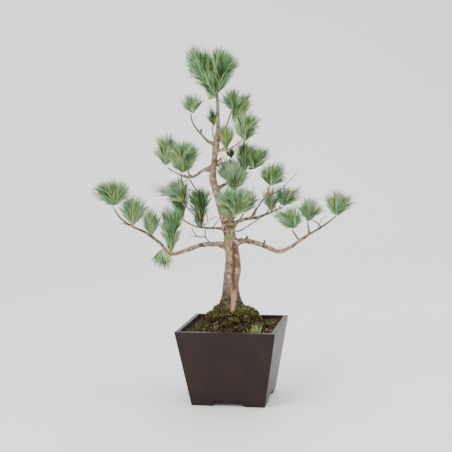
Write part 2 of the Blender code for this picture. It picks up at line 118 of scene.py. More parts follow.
# Limbs: the route in mm in the tree's frame, and the radius at both ends
LIMBS = {
    "bough_left_low": (
        ((-5, 4, 241), (-27, -4, 245), (-47, -13, 245), (-70, -24, 239), (-93, -33, 235),
         (-110, -37, 252), (-131, -42, 269), (-150, -46, 279), (-167, -51, 292), (-178, -54, 310)), 4.7, 1.1),
    "bough_right_low": (
        ((0, 4, 245), (22, -4, 249), (47, -12, 243), (71, -22, 234), (89, -30, 241), (104, -37, 252),
         (118, -42, 262), (138, -50, 275), (157, -57, 290)), 5.0, 1.2),
    "bough_left_middle": (
        ((-6, 6, 267), (-28, 16, 268), (-47, 27, 268), (-64, 38, 272), (-80, 48, 281)), 2.4, 1.3),
    "limb_left_inner": (((-46, 26, 268), (-55, 25, 283), (-66, 27, 297), (-77, 30, 307)), 1.4, 1.0),
    "bough_left_upper": (
        ((-27, 5, 361), (-42, 10, 360), (-54, 12, 352), (-64, 12, 348), (-73, 12, 353)), 3.1, 1.5),
    "limb_left_upper_back": (
        ((-64, 12, 348), (-78, 26, 352), (-91, 34, 358), (-100, 36, 364)), 1.8, 1.1),
    "bough_left_top": (
        ((-21.5, 2, 400), (-34, -6, 405), (-44, -12, 416), (-53, -16, 427), (-58, -18, 438),
         (-59, -18, 447)), 2.6, 1.2),
    "bough_right_top": (((-22, 3, 392), (-8, -8, 391), (5, -14, 396), (18, -18, 406)), 2.0, 1.2),
    "bough_crown_right": (((-21, 2, 405), (-10, 10, 419), (-2, 14, 436), (3, 15, 451)), 1.8, 1.1),
    "bough_right_upper": (((-23, 8, 330), (-4, 18, 339), (14, 24, 348), (28, 22, 354)), 2.8, 1.5),
    "bough_right_middle": (
        ((-4, 6, 272), (18, 12, 281), (40, 20, 283), (56, 26, 288), (71, 32, 293), (82, 36, 297)), 3.3, 1.4),
    "limb_right_inner": (((30, 16, 282), (44, 16, 303), (55, 18, 318), (61, 20, 332)), 1.7, 1.1),
    "bough_front": (((-7, 7, 280), (0, -18, 284), (5, -42, 290)), 2.6, 1.6),
    "stem_right_low_inner": (((103, -37, 252), (96, -38, 262), (92, -40, 268)), 1.5, 1.1),
    "stem_right_low_outer": (((118, -42, 262), (116, -44, 273), (115, -46, 281)), 1.5, 1.1),
    "bough_front_upper": (((-17, 8, 308), (-6, 2, 317), (5, -4, 326)), 1.9, 1.3),
    "bough_back_upper": (((-26, 5, 366), (-14, 14, 369), (-5, 22, 372), (0, 26, 375)), 1.6, 1.0),
    "bough_back_low": (((-3, 5, 258), (6, 32, 270), (14, 62, 276), (20, 80, 284)), 3.2, 1.5),
    "bough_back_middle": (((-17, 8, 310), (-8, 34, 322), (-2, 56, 334)), 2.4, 1.3),
    "bough_back_left": (((-60, 12, 349), (-66, 34, 353), (-69, 62, 362)), 1.8, 1.1),
    "bough_back_top": (((-23, 4, 388), (-14, 22, 390), (-8, 38, 396)), 1.7, 1.1),
}
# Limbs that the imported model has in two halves, split at their bends
SPLIT_LIMBS = ("bough_left_low", "bough_right_low")

# Bare twigs and cut stubs that show between the tufts: route in mm, radius at both ends
TWIGS = (
    (((-34, -8, 247), (-41, 0, 256), (-42, 16, 265)), 1.2, 0.9),
    (((-42, 0, 256), (-53, 8, 256), (-59, 14, 261), (-63, 20, 268)), 1.1, 0.8),
    (((-29, 14, 270), (-23, 8, 278), (-19, 2, 287)), 1.0, 0.6),
    (((-42, 20, 271), (-56, 22, 286), (-67, 24, 298), (-79, 28, 316)), 1.2, 0.8),
    (((-40, 20, 273), (-45, 16, 281), (-48, 12, 291)), 1.0, 0.8),
    (((-37, 18, 275), (-38, 22, 285), (-41, 24, 298)), 0.9, 0.6),
    (((-35, 20, 281), (-29, 14, 284), (-21, 8, 288)), 0.8, 0.5),
    (((-64, 12, 345), (-58, 10, 335), (-55, 8, 328)), 1.3, 1.0),
    (((-77, 12, 353), (-76, 16, 342), (-71, 20, 333), (-63, 20, 328)), 1.1, 0.8),
    (((-67, 13, 345), (-71, 6, 343)), 0.9, 0.8),
    (((-43, 14, 360), (-35, 18, 364), (-27, 22, 368), (-16, 24, 369)), 1.4, 1.1),
    (((-22, 6, 371), (-18, 0, 375), (-13, -6, 379)), 1.7, 1.4),
    (((-45, -12, 417), (-44, -14, 424)), 2.0, 1.8),
    (((6, 2, 264), (13, -2, 265), (21, 2, 269), (29, 8, 273), (45, 14, 283)), 1.3, 0.9),
    (((56, 18, 290), (61, 14, 302), (60, 12, 311)), 1.0, 0.6),
    (((71, 24, 294), (68, 20, 304), (64, 18, 311)), 1.0, 0.6),
    (((76, 26, 297), (79, 24, 305), (81, 22, 313)), 1.0, 0.6),
    (((32, 8, 285), (48, 4, 310), (58, 2, 321)), 1.1, 0.6),
    (((38, 8, 285), (36, 0, 305), (33, 0, 323), (35, 0, 336)), 0.8, 0.5),
    (((34, 0, 331), (42, 4, 331)), 0.6, 0.4),
    (((60, 20, 318), (77, 16, 326), (90, 12, 339), (104, 8, 354)), 1.0, 0.5),
    (((135, -50, 274), (126, -46, 282), (120, -42, 284)), 1.1, 0.7),
    (((130, -48, 272), (136, -54, 286), (142, -58, 290)), 0.8, 0.5),
    (((22, -4, 249), (24, -10, 257)), 2.4, 1.8),
    (((49, -13, 243), (51, -16, 251)), 2.2, 1.7),
    (((-23, 2, 403), (-27, 8, 420), (-26, 8, 432)), 1.2, 0.8),
    (((-155, -47, 281), (-163, -50, 284), (-172, -46, 283)), 0.9, 0.5),
    (((-50, 8, 256), (-58, 8, 256), (-66, 4, 258)), 0.8, 0.5),
    (((-19, -6, 470), (-27, -7, 484), (-40, -8, 503)), 1.7, 1.1),
)

# Masses: seat in mm, number of shoots, how full, and the mix of needle colours
MASSES = {
    "foliage_apex_left": ((-23, -7, 473), 4, 1.0, "fresh"),
    "foliage_apex_right": ((-19, -6, 480), 5, 1.1, "fresh"),
    "foliage_left_tip": ((-179, -54, 314), 3, 1.1, "fresh"),
    "foliage_left_low_2": ((-150, -46, 281), 3, 0.95, "blue"),
    "foliage_left_low_3": ((-124, -41, 267), 2, 0.75, "pale"),
    "foliage_left_brush": ((-93, -33, 239), 2, 1.0, "fresh"),
    "foliage_left_elbow": ((-104, -36, 240), 2, 0.8, "fresh"),
    "foliage_left_far": ((-78, 30, 311), 2, 0.6, "pale"),
    "foliage_left_dark": ((-84, 51, 285), 3, 1.0, "shade"),
    "foliage_left_inner": ((-50, 27, 270), 2, 0.9, "shade"),
    "foliage_left_upper": ((-75, 12, 356), 3, 1.1, "fresh"),
    "foliage_left_upper_back": ((-102, 36, 367), 3, 1.0, "fresh"),
    "foliage_left_top": ((-59, -18, 450), 1, 1.1, "blue"),
    "foliage_trunk_left": ((-24, 4, 428), 1, 0.7, "shade"),
    "foliage_crown_right": ((4, 15, 454), 2, 1.0, "blue"),
    "foliage_right_top_back": ((4, 20, 433), 2, 1.0, "olive"),
    "foliage_right_top": ((22, -19, 409), 3, 1.0, "fresh"),
    "foliage_trunk_right": ((-6, -8, 394), 1, 1.0, "olive"),
    "foliage_right_upper_small": ((1, 26, 378), 1, 0.9, "shade"),
    "foliage_right_upper": ((20, 24, 354), 2, 1.0, "shade"),
    "foliage_right_upper_tip": ((40, 16, 358), 3, 1.0, "fresh"),
    "foliage_centre_upper": ((8, -6, 330), 3, 1.0, "blue"),
    "foliage_centre": ((5, -45, 294), 4, 1.1, "fresh"),
    "foliage_right_inner": ((62, 20, 335), 2, 1.0, "fresh"),
    "foliage_right_middle": ((62, 26, 293), 1, 0.6, "pale"),
    "foliage_right_middle_tip": ((85, 37, 299), 2, 0.75, "pale"),
    "foliage_right_low_inner": ((91, -41, 271), 2, 0.8, "blue"),
    "foliage_right_low_outer": ((115, -46, 284), 2, 0.9, "blue"),
    "foliage_right_tip": ((159, -58, 292), 2, 0.95, "blue"),
    "foliage_back_low": ((24, 84, 288), 3, 0.8, "blue"),
    "foliage_back_middle": ((-1, 59, 337), 3, 0.9, "fresh"),
    "foliage_back_left": ((-70, 66, 364), 3, 0.9, "fresh"),
    "foliage_back_top": ((-8, 41, 398), 2, 0.9, "blue"),
}

# Share of each needle colour in a mix. The deep green is painted shade and the bright green a painted
# highlight, both dealt out among the needles; the shade mix, mostly deep green, is painted shade on tufts
# that lie in shade
MIXES = {
    "fresh": {"mid": 5, "bright": 3, "blue": 2, "deep": 3, "yellow": 1},
    "blue": {"mid": 3, "bright": 2, "blue": 6, "deep": 2, "yellow": 0.3},
    "pale": {"mid": 3, "bright": 2, "blue": 5, "deep": 1.5, "straw": 0.7},
    "shade": {"mid": 3, "bright": 0.6, "blue": 1.5, "deep": 7, "yellow": 0.3},
    "olive": {"mid": 4, "bright": 2, "deep": 3, "yellow": 4, "straw": 0.4},
}

# Moss cushions, in mm in the pot's frame: right, back, radius; the last eight climb the trunk's foot
CUSHIONS = (
    (-30, -8, 12), (-24, -20, 11), (-33, 8, 10), (-14, -26, 10), (27, -12, 11), (33, -2, 12),
    (38, -16, 10), (22, -24, 9), (-42, -22, 8), (-46, -6, 7), (-52, -34, 7), (8, -33, 8),
    (26, 16, 12), (6, 30, 11), (-20, 24, 12), (40, 26, 8), (-4, -38, 7), (44, -30, 6),
    (-38, 34, 8), (16, -40, 6), (-58, -18, 6), (52, 8, 7),
    (-20, -8, 13), (-15, -17, 12), (17, -12, 13), (14, -20, 11), (21, 3, 13), (-22, 8, 12),
    (8, 20, 13), (-8, 19, 12),
)
STEMS_PER_CUSHION = 150
# Clumps of grass: right and back in mm, number of blades, their height in mm
GRASS = (
    (44, -38, 14, 17), (20, -6, 8, 16), (-44, -30, 7, 9), (36, -44, 8, 12), (-20, -34, 6, 9),
    (30, 20, 10, 12), (-30, 30, 8, 10),
)
SOIL_CELLS, SOIL_DEPTH = 150, 9 * MM
CRUMBS, STRANDS = 700, 26
# The mound's slope starts this far from the pot's middle and takes this much room, in metres
MOUND_FOOT, MOUND_SLOPE = 52 * MM, 30 * MM


def linear(colour):
    """An sRGB hex colour as linear RGBA."""
    channels = [int(colour[i:i + 2], 16) / 255 for i in (0, 2, 4)]
    return (*[c / 12.92 if c <= 0.04045 else ((c + 0.055) / 1.055) ** 2.4 for c in channels], 1)


def tint(name, description, colour):
    """A colour property whose default is given as sRGB hex."""
    return FloatVectorProperty(name=name, description=description, subtype="COLOR", size=3, min=0, max=1,
                               default=linear(colour)[:3])


class PineSizes(bpy.types.PropertyGroup):
    """Sizes that a user would change."""

    needle_length: FloatProperty(name="Needle Length", description="Full length of a grown needle",
                                 default=36 * MM, unit="LENGTH", subtype="DISTANCE")
    needle_width: FloatProperty(name="Needle Width", description="Width across a needle at its middle",
                                default=1.2 * MM, unit="LENGTH", subtype="DISTANCE")
    bundles_per_area: FloatProperty(name="Bundles per Area",
                                    description="Needle bundles per square centimetre of a tuft's outline",
                                    default=2.5, min=0.1)
    bark_relief: FloatProperty(name="Bark Relief", description="Depth of the bark's plates on the trunk",
                               default=1.1 * MM, unit="LENGTH", subtype="DISTANCE")


class PineColours(bpy.types.PropertyGroup):
    """Colours that a user would change."""

    mid: tint("Mid Green", "Most grown needles", "648c52")
    # Painted highlight: a pale green dealt to needles to stand in for light catching them
    bright: tint("Bright Green", "Needles that catch the light", "a8c48e")
    blue: tint("Blue Green", "Needles that show their waxy inner sides", "84a88c")
    # Painted shade: a dark green dealt to needles to stand in for the shade within and behind the tufts
    deep: tint("Deep Green", "Needles in the shade", "34542f")
    yellow: tint("Yellow Green", "Older needles at the foot of a tuft", "a3b064")
    straw: tint("Straw", "Dry needles", "b8a67c")
    grass: tint("Grass", "Blades of grass on the soil", "9aa862")
    floor: FloatVectorProperty(name="Floor", description="The studio floor", subtype="COLOR", size=3,
                               default=(0.8, 0.8, 0.79))


NEEDLE_COLOURS = ("mid", "bright", "blue", "deep", "yellow", "straw")


def node(tree, kind, settings=None, links=None, feeds=None):
    """Add a shader node with its settings, link what feeds it, and link its first output to a socket.

    A setting is a number on an input, a property of the node, or the (place, hex) stops of a ramp.
    """
    made = tree.nodes.new(kind)
    for key, value in (settings or {}).items():
        if key == "stops":
            band = made.color_ramp.elements
            while len(band) < len(value):
                band.new(0.5)
            for element, (place, colour) in zip(band, value):
                element.position, element.color = place, linear(colour)
        elif isinstance(key, int) or key in made.inputs:
            made.inputs[key].default_value = value
        else:
            setattr(made, key, value)
    for key, source in (links or {}).items():
        tree.links.new(source, made.inputs[key])
    if feeds:
        tree.links.new(made.outputs[0], feeds)
    return made


def new_material(name, settings):
    """A new material with its tree, its shader with plain values set, and the object's coordinates."""
    made = bpy.data.materials.new(name)
    made.use_nodes = True
    tree = made.node_tree
    shader = tree.nodes["Principled BSDF"]
    for key, value in settings.items():
        shader.inputs[key].default_value = value
    return made, tree, shader, node(tree, "ShaderNodeTexCoord").outputs["Object"]


def pine_bark():
    """Old pine bark, weathered."""
    # Dry and matt: grey-tan plates with dark cracks, moss at the foot and red inner bark in the split
    made, tree, shader, place = new_material("pine_bark_weathered",
                                             {"Roughness": 0.88, "Specular IOR Level": 0.3})
    # 190, 62 and 900 to the metre: plates about 5 mm wide, mottling about 16 mm, grain about 1 mm
    plates = node(tree, "ShaderNodeTexNoise", {"Scale": 190, "Detail": 5, "Roughness": 0.65},
                  {"Vector": place}).outputs["Fac"]
    mottle = node(tree, "ShaderNodeTexNoise", {"Scale": 62, "Detail": 3}, {"Vector": place}).outputs["Fac"]
    grain = node(tree, "ShaderNodeTexNoise", {"Scale": 900, "Detail": 2}, {"Vector": place}).outputs["Fac"]
    base = node(tree, "ShaderNodeValToRGB", {"stops": (
        (0.3, "3f332a"), (0.46, "85705c"), (0.58, "a8957f"), (0.74, "cdbfae"))}, {"Fac": plates})
    warm = node(tree, "ShaderNodeValToRGB", {"stops": (
        (0.38, "9a8a78"), (0.5, "ffffff"), (0.62, "e9d2b8"))}, {"Fac": mottle})
    # In a colour mix, socket 0 is the share, 6 and 7 are the two colours, and output 2 is the result
    colour = node(tree, "ShaderNodeMix", {"data_type": "RGBA", "blend_type": "MULTIPLY", 0: 0.75},
                  {6: base.outputs["Color"], 7: warm.outputs["Color"]}).outputs[2]
    axes = node(tree, "ShaderNodeSeparateXYZ", links={"Vector": place})
    x, y, z = (axes.outputs[key] for key in "XYZ")

    # Distance from the split's middle line, which wanders by a few millimetres
    wander = node(tree, "ShaderNodeMath", {"operation": "MULTIPLY_ADD", 1: 0.010, 2: -0.0085}, {0: mottle})
    off = node(tree, "ShaderNodeMath", {"operation": "ADD"}, {0: x, 1: wander.outputs["Value"]})
    apart = node(tree, "ShaderNodeMath", {"operation": "ABSOLUTE"},
                 {0: off.outputs["Value"]}).outputs["Value"]

    # Layers of colour from the lowest up: colour, strength, and limits that all have to be met.
    # A limit is what is measured, where the layer starts to show, and where it shows in full.
    layers = (
        ("4a3a2c", 1, ((z, 0.245, 0.258), (z, 0.305, 0.290), (plates, 0.62, 0.42))),  # dark bark
        ("6f7a45", 1, ((z, 0.245, 0.258), (z, 0.305, 0.290), (mottle, 0.55, 0.62))),  # algae
        ("2f2b1b", 1, ((z, 0.205, 0.158), (plates, 0.38, 0.5))),  # moss at the foot
        ("977b60", 1, ((apart, 0.0042, 0.0022), (y, 0.0, -0.004), (z, 0.188, 0.172))),  # dry strip
        ("60392a", 1, ((apart, 0.0032, 0.0014), (y, 0.002, -0.002), (z, 0.166, 0.176),
                       (z, 0.256, 0.244))),  # red inner bark
        ("6d6a62", 0.55, ((z, 0.395, 0.43),)),  # grey young bark
    )
    for paint, strength, limits in layers:
        mask = None
        for value, start, full in limits:
            limit = node(tree, "ShaderNodeMapRange",
                         {"From Min": start, "From Max": full, "To Max": 1 if mask else strength},
                         {"Value": value}).outputs["Result"]
            mask = node(tree, "ShaderNodeMath", {"operation": "MULTIPLY"},
                        {0: mask, 1: limit}).outputs["Value"] if mask else limit
        colour = node(tree, "ShaderNodeMix", {"data_type": "RGBA", 7: linear(paint)},
                      {0: mask, 6: colour}).outputs[2]
    tree.links.new(colour, shader.inputs["Base Color"])
    height = node(tree, "ShaderNodeMath", {"operation": "MULTIPLY_ADD", 1: 0.35}, {0: grain, 2: plates})
    node(tree, "ShaderNodeBump", {"Distance": 0.7 * MM}, {"Height": height.outputs["Value"]},
         shader.inputs["Normal"])
    return made


def speckled(name, settings, scale, stops, relief):
    """A grown or crumbled skin: one noise gives both its mottled colour and its small relief."""
    made, tree, shader, place = new_material(name, settings)
    spots = node(tree, "ShaderNodeTexNoise", {"Scale": scale, "Detail": 4}, {"Vector": place}).outputs["Fac"]
    node(tree, "ShaderNodeValToRGB", {"stops": stops}, {"Fac": spots}, shader.inputs["Base Color"])
    node(tree, "ShaderNodeBump", {"Distance": relief}, {"Height": spots}, shader.inputs["Normal"])
    return made


def twig_bark():
    """Bark of young shoots and twigs."""
    # Thin grey-brown skin, slightly satin; 420 to the metre gives spots of 2 to 3 mm
    return speckled("pine_twig_bark", {"Roughness": 0.75, "Specular IOR Level": 0.35}, 420,
                    ((0.32, "2e2620"), (0.5, "5d4f43"), (0.7, "8d7c69")), 0.3 * MM)


def cushion_skin(name, stops):
    """Cushion moss and what lies among it."""
    # Very soft and matt, so no gloss at all; 260 to the metre gives patches of about 4 mm
    return speckled(name, {"Roughness": 0.95, "Specular IOR Level": 0.15}, 260, stops, 1.0 * MM)


def needle_skin(name, colour):
    """A waxy leaf, of a pine needle or of grass."""
    # Satin from its wax. The lines of breathing pores are about 0.7 mm apart, coarser than real, to show
    made, tree, shader, place = new_material(name, {"Base Color": (*colour, 1), "Roughness": 0.45,
                                                    "IOR": 1.42, "Specular IOR Level": 0.45})
    lines = node(tree, "ShaderNodeTexNoise", {"Scale": 1500, "Detail": 1}, {"Vector": place})
    node(tree, "ShaderNodeBump", {"Distance": 0.08 * MM}, {"Height": lines.outputs["Fac"]},
         shader.inputs["Normal"])
    return made


def stoneware():
    """Unglazed stoneware, pressed and fired dark brown."""
    # A smooth clay skin with a dull waxed gloss: clouds of about 40 mm, pores under 1 mm
    made, tree, shader, place = new_material("unglazed_stoneware", {
        "IOR": 1.5, "Specular IOR Level": 0.25, "Coat Weight": 0.06, "Coat Roughness": 0.35})
    cloud = node(tree, "ShaderNodeTexNoise", {"Scale": 26, "Detail": 4}, {"Vector": place}).outputs["Fac"]
    speck = node(tree, "ShaderNodeTexNoise", {"Scale": 1300, "Detail": 2}, {"Vector": place}).outputs["Fac"]
    node(tree, "ShaderNodeValToRGB", {"stops": ((0.3, "170a06"), (0.55, "1e0e09"), (0.75, "25130c"))},
         {"Fac": cloud}, shader.inputs["Base Color"])
    node(tree, "ShaderNodeMapRange", {"To Min": 0.36, "To Max": 0.5}, {"Value": cloud},
         shader.inputs["Roughness"])
    node(tree, "ShaderNodeBump", {"Distance": 0.12 * MM}, {"Height": speck}, shader.inputs["Normal"])
    return made


def potting_mix():
    """Damp potting mix."""
    # Near-black crumbs of peat and bark with tan grit, 330 to the metre: crumbs of about 3 mm
    made, tree, shader, place = new_material("potting_mix_damp",
                                             {"Roughness": 0.95, "Specular IOR Level": 0.2})
    crumbs = node(tree, "ShaderNodeTexVoronoi", {"Scale": 330}, {"Vector": place}).outputs["Distance"]
    fine = node(tree, "ShaderNodeTexNoise", {"Scale": 500, "Detail": 4}, {"Vector": place}).outputs["Fac"]
    node(tree, "ShaderNodeValToRGB", {"stops": (
        (0.36, "120d09"), (0.5, "2a1f16"), (0.62, "4a3828"), (0.72, "7d6a50"))}, {"Fac": fine},
        shader.inputs["Base Color"])
    node(tree, "ShaderNodeBump", {"Distance": 1.5 * MM}, {"Height": crumbs}, shader.inputs["Normal"])
    return made


def floor_paint(colour):
    """Painted studio floor."""
    # Pale and matt, with the faintest cloudiness at 3 to the metre
    made, tree, shader, place = new_material("studio_floor_paint",
                                             {"Base Color": (*colour, 1), "Roughness": 0.6})
    cloud = node(tree, "ShaderNodeTexNoise", {"Scale": 3}, {"Vector": place})
    node(tree, "ShaderNodeBump", {"Distance": 0.2 * MM}, {"Height": cloud.outputs["Fac"]},
         shader.inputs["Normal"])
    return made


def new_piece(name, verts, faces, material, slot, smooth=True):
    """A mesh object that rides with the plant, from points given in the row's frame."""
    mesh = bpy.data.meshes.new(name)
    mesh.from_pydata([tuple(v) for v in verts], [], [tuple(f) for f in faces])
    mesh.materials.append(material)
    if smooth:
        mesh.shade_smooth()
    made = bpy.data.objects.new(name, mesh)
    bpy.context.scene.collection.objects.link(made)
    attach(made, BODY)
    return made


def curve_points(stations, spacing):
    """A soft curve through (x, y, z, radius) stations, with points about a spacing apart."""
    values = [Vector(s) for s in stations]
    ends = [2 * values[0] - values[1]] + values + [2 * values[-1] - values[-2]]
    path = []
    for a, b, c, d in zip(ends, ends[1:], ends[2:], ends[3:]):
        steps = max(2, round((c - b).to_3d().length / spacing))
        for step in range(steps):
            t = step / steps
            path.append(0.5 * (2 * b + (c - a) * t + (2 * a - 5 * b + 4 * c - d) * t ** 2
                               + (3 * b - a - 3 * c + d) * t ** 3))
    return path + [values[-1]]


def frames_along(path):
    """Each path point with two cross vectors, turning as little as they can."""
    points = [p.to_3d() for p in path]
    frames, side = [], None
    for i, point in enumerate(points):
        run = (points[min(i + 1, len(points) - 1)] - points[max(i - 1, 0)]).normalized()
        if side is None:
            side = run.orthogonal().normalized()
        side = (side - side.dot(run) * run).normalized()
        frames.append((point, side, run.cross(side)))
    return frames


class Shell:
    """Points and faces gathered for one piece."""

    def __init__(self):
        self.verts = []
        self.faces = []

    def sweep(self, path, sides, relief):
        """Add a closed tube along a path of the tree's frame, turned to the row's.

        relief(point, out, radius, share) says how far each point moves out.
        """
        start = len(self.verts)
        frames = frames_along(path)
        last = len(frames) - 1
        for i, (point, side, across) in enumerate(frames):
            radius = path[i][3]
            for k in range(sides):
                turn = math.tau * k / sides
                out = math.cos(turn) * side + math.sin(turn) * across
                at = point + out * radius
                self.verts.append(TURN @ (at + out * relief(at, out, radius, i / last)))
        for i in range(last):
            for k in range(sides):
                a, b = start + i * sides + k, start + i * sides + (k + 1) % sides
                self.faces.append((a, b, b + sides, a + sides))
        for ring in (0, last):
            edge = [start + ring * sides + k for k in range(sides)]
            middle = len(self.verts)
            self.verts.append(sum((self.verts[k] for k in edge), Vector()) / sides)
            for a, b in zip(edge, edge[1:] + edge[:1]):
                self.faces.append((a, b, middle) if ring else (b, a, middle))

    def needle(self, root, way, length, width, droop):
        """Add a three-sided blade, slimmer at its foot, that bends once and ends in a point."""
        side = way.orthogonal().normalized()
        across = way.cross(side)
        middle = root + way * length * 0.5
        tip = root + way * length + droop
        start = len(self.verts)
        for centre, size in ((root, 0.35), (middle - droop * 0.15, 0.5)):
            for k in range(3):
                turn = math.tau * k / 3
                out = math.cos(turn) * side + math.sin(turn) * across
                self.verts.append(centre + out * width * size)
        self.verts.append(tip)
        for k in range(3):
            n = (k + 1) % 3
            self.faces.append((start + k, start + n, start + 3 + n))
            self.faces.append((start + k, start + 3 + n, start + 3 + k))
            self.faces.append((start + 3 + k, start + 3 + n, start + 6))
        self.faces.append((start + 2, start + 1, start))

    def take(self, bm):
        """Take over a bmesh's points and faces, and free it."""
        bm.verts.index_update()
        self.verts = [v.co.copy() for v in bm.verts]
        self.faces = [[v.index for v in face.verts] for face in bm.faces]
        bm.free()


def old_bark(depth):
    """Relief of the trunk: broad lumps, long plates, cracks, the open split and the root shoulders."""
    def relief(at, out, radius, share):
        # Lumps of about 18 mm, plates of 6 mm and cracks 8 mm apart, all about twice as long up the trunk
        scaled = Vector((at.x, at.y, at.z * 0.45))
        lumps = noise.noise(scaled * 55) * 0.10 * radius
        plates = noise.turbulence(scaled * 170, 3, False) - 0.9
        cracks = -max(0, 0.12 - abs(noise.noise(scaled * 130 + Vector((7, 3, 1))))) * 7
        move = lumps + depth * min(1, radius / 0.009) * (0.9 * plates + 0.7 * cracks)
        if SPLIT_LOW < at.z < SPLIT_HIGH and out.y < 0:
            off = abs(at.x - 0.001 - 0.004 * math.sin(at.z * 70))
            ends = min(1, (at.z - SPLIT_LOW) * 60, (SPLIT_HIGH - at.z) * 60)
            move -= SPLIT_DEPTH * max(0, 1 - off / SPLIT_HALF) * ends
        turn = math.atan2(out.y, out.x)
        shoulders = 0.5 + 0.5 * math.cos(5 * turn + 1.3 * math.sin(2 * turn) + 0.6)
        near = max(0, 1 - (at.z - GROUND_LEVEL) / SHOULDER_HEIGHT)
        return move - (1 - shoulders) * 0.30 * radius * near ** 1.3
    return relief


def young_bark(depth):
    """Relief of boughs and twigs: faint lumps and the rings left by old bud scales."""
    def relief(at, out, radius, share):
        # Lumps of about 6 mm, 14 rings along a limb that wander a little, and a skin of 3 mm scales
        lumps = noise.noise(at * 160) * 0.14 * radius
        rings = 0.06 * radius * math.sin(share * 90 + 6 * noise.noise(at * 60))
        fine = depth * (noise.turbulence(at * 300, 2, False) - 0.7) * min(1, radius / 0.004)
        return lumps + rings + fine
    return relief


def limb_stations(route, thick, thin):
    """Stations in metres along a route in mm, with a radius that tapers evenly."""
    last = len(route) - 1
    return [Vector((*(Vector(p) * MM), MM * (thick + (thin - thick) * i / last)))
            for i, p in enumerate(route)]


class PINE_OT_bark(bpy.types.Operator):
    """Make the trunk and boughs with the bark's relief."""

    bl_idname = "pine.bark"
    bl_label = "Trunk and Boughs"

    def execute(self, context):
        depth = context.scene.pine_sizes.bark_relief
        material = pine_bark()
        trunk = Shell()
        stations = [[value * MM for value in station] for station in TRUNK]
        trunk.sweep(curve_points(stations, RING_SPACING), TRUNK_SIDES, old_bark(depth))
        made = new_piece("trunk_bark", trunk.verts, trunk.faces, material, "bark")
        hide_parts("trunk")
        for name, (route, thick, thin) in LIMBS.items():
            path = curve_points(limb_stations(route, thick, thin), RING_SPACING)
            first = path[0].to_3d()
            for value in path:
                away = (value.to_3d() - first).length
                value[3] *= 1 + COLLAR * math.exp(-max(0, away - COLLAR_START) / COLLAR_FADE)
            # A bough has half the trunk's relief
            limb = Shell()
            limb.sweep(path, BOUGH_SIDES if thick > THICK_BOUGH else LIMB_SIDES, young_bark(0.5 * depth))
            made = new_piece(name + "_bark", limb.verts, limb.faces, material, "bark")
            nodes = (name + "_inner", name + "_outer") if name in SPLIT_LIMBS else (name,)
            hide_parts(*nodes)
        return {"FINISHED"}


def mass_shape(name):
    """A mass's solid as points in the tree's frame, and a tree of faces to cast rays at."""
    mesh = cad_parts[name].data
    points = [BACK_TO_TREE @ v.co for v in mesh.vertices]
    return points, BVHTree.FromPolygons(points, [p.vertices for p in mesh.polygons])


def reach_of(tree, root, way):
    """How far a mass's outer face lies from a point along a direction, or None when it misses."""
    outside = 0.3  # metres, beyond any mass
    hit = tree.ray_cast(root + way * outside, -way)[0]
    return (hit - root).dot(way) if hit else None


def shoots_of(name):
    """The centre lines of the leafy shoots that grow from a mass's seat, as three points each."""
    draw = random.Random(name + "shoots")
    seat, count = MASSES[name][:2]
    points, tree = mass_shape(name)
    seat = min(points, key=lambda p: (p - Vector(seat) * MM).length)
    middle = sum(points, Vector()) / len(points)
    up = (middle - seat).normalized()
    far = max((p - seat).dot(up) for p in points)
    crown = [p for p in points if (p - seat).dot(up) > 0.5 * far]
    shoots = []
    for i in range(count):
        # The first shoot goes straight on; the rest head for points spread over the crown
        way = up
        if i:
            picks = draw.sample(crown, min(6, len(crown)))
            way = max(((p - seat).normalized() for p in picks),
                      key=lambda w: min((w - (s[-1] - seat).normalized()).length for s in shoots))
            way = (way + 0.25 * up).normalized()
        reach = reach_of(tree, seat, way) or 30 * MM
        # A shoot stops short of the outline, which the needles at its end reach
        length = max(0.35 * reach, reach - draw.uniform(24, 30) * MM)
        bend = seat + up * length * 0.45 + way * length * 0.15
        shoots.append([seat - up * 1.5 * MM, bend, seat + way * length])
    return shoots


class PINE_OT_twigs(bpy.types.Operator):
    """Make the bare twigs, cut stubs and the shoots inside the tufts."""

    bl_idname = "pine.twigs"
    bl_label = "Twigs and Shoots"

    def execute(self, context):
        twigs = Shell()
        relief = young_bark(0.3 * MM)
        for route, thick, thin in TWIGS:
            twigs.sweep(curve_points(limb_stations(route, thick, thin), 2 * MM), TWIG_SIDES, relief)
        for name in MASSES:
            for shoot in shoots_of(name):
                stations = [Vector((*point, SHOOT_RADIUS - SHOOT_TAPER * i / (len(shoot) - 1)))
                            for i, point in enumerate(shoot)]
                twigs.sweep(curve_points(stations, 3 * MM), SHOOT_SIDES, relief)
        new_piece("twigs_and_shoots", twigs.verts, twigs.faces, twig_bark(), "bark")
        return {"FINISHED"}


def starts_along(shoots):
    """Points along the shoots where bundles may start, each with the shoot's direction there."""
    starts = []
    for low, bend, end in shoots:
        for step in range(STARTS_PER_SHOOT):
            share = step / (STARTS_PER_SHOOT - 1)
            if share < 0.5:
                starts.append((low.lerp(bend, share * 2), (bend - low).normalized()))
            else:
                starts.append((bend.lerp(end, share * 2 - 1), (end - bend).normalized()))
    return starts


def best_start(starts, target, wanted, draw):
    """The start that a bundle of the wanted length leaves for its target without turning back."""
    def cost(start):
        line = target - start[0]
        if line.length < 1e-6:
            return 1
        lean = line.normalized().dot(start[1])
        return abs(line.length - wanted) + 0.03 * max(0, 0.35 - lean) + draw.uniform(0, 0.006)
    return min(starts, key=cost)


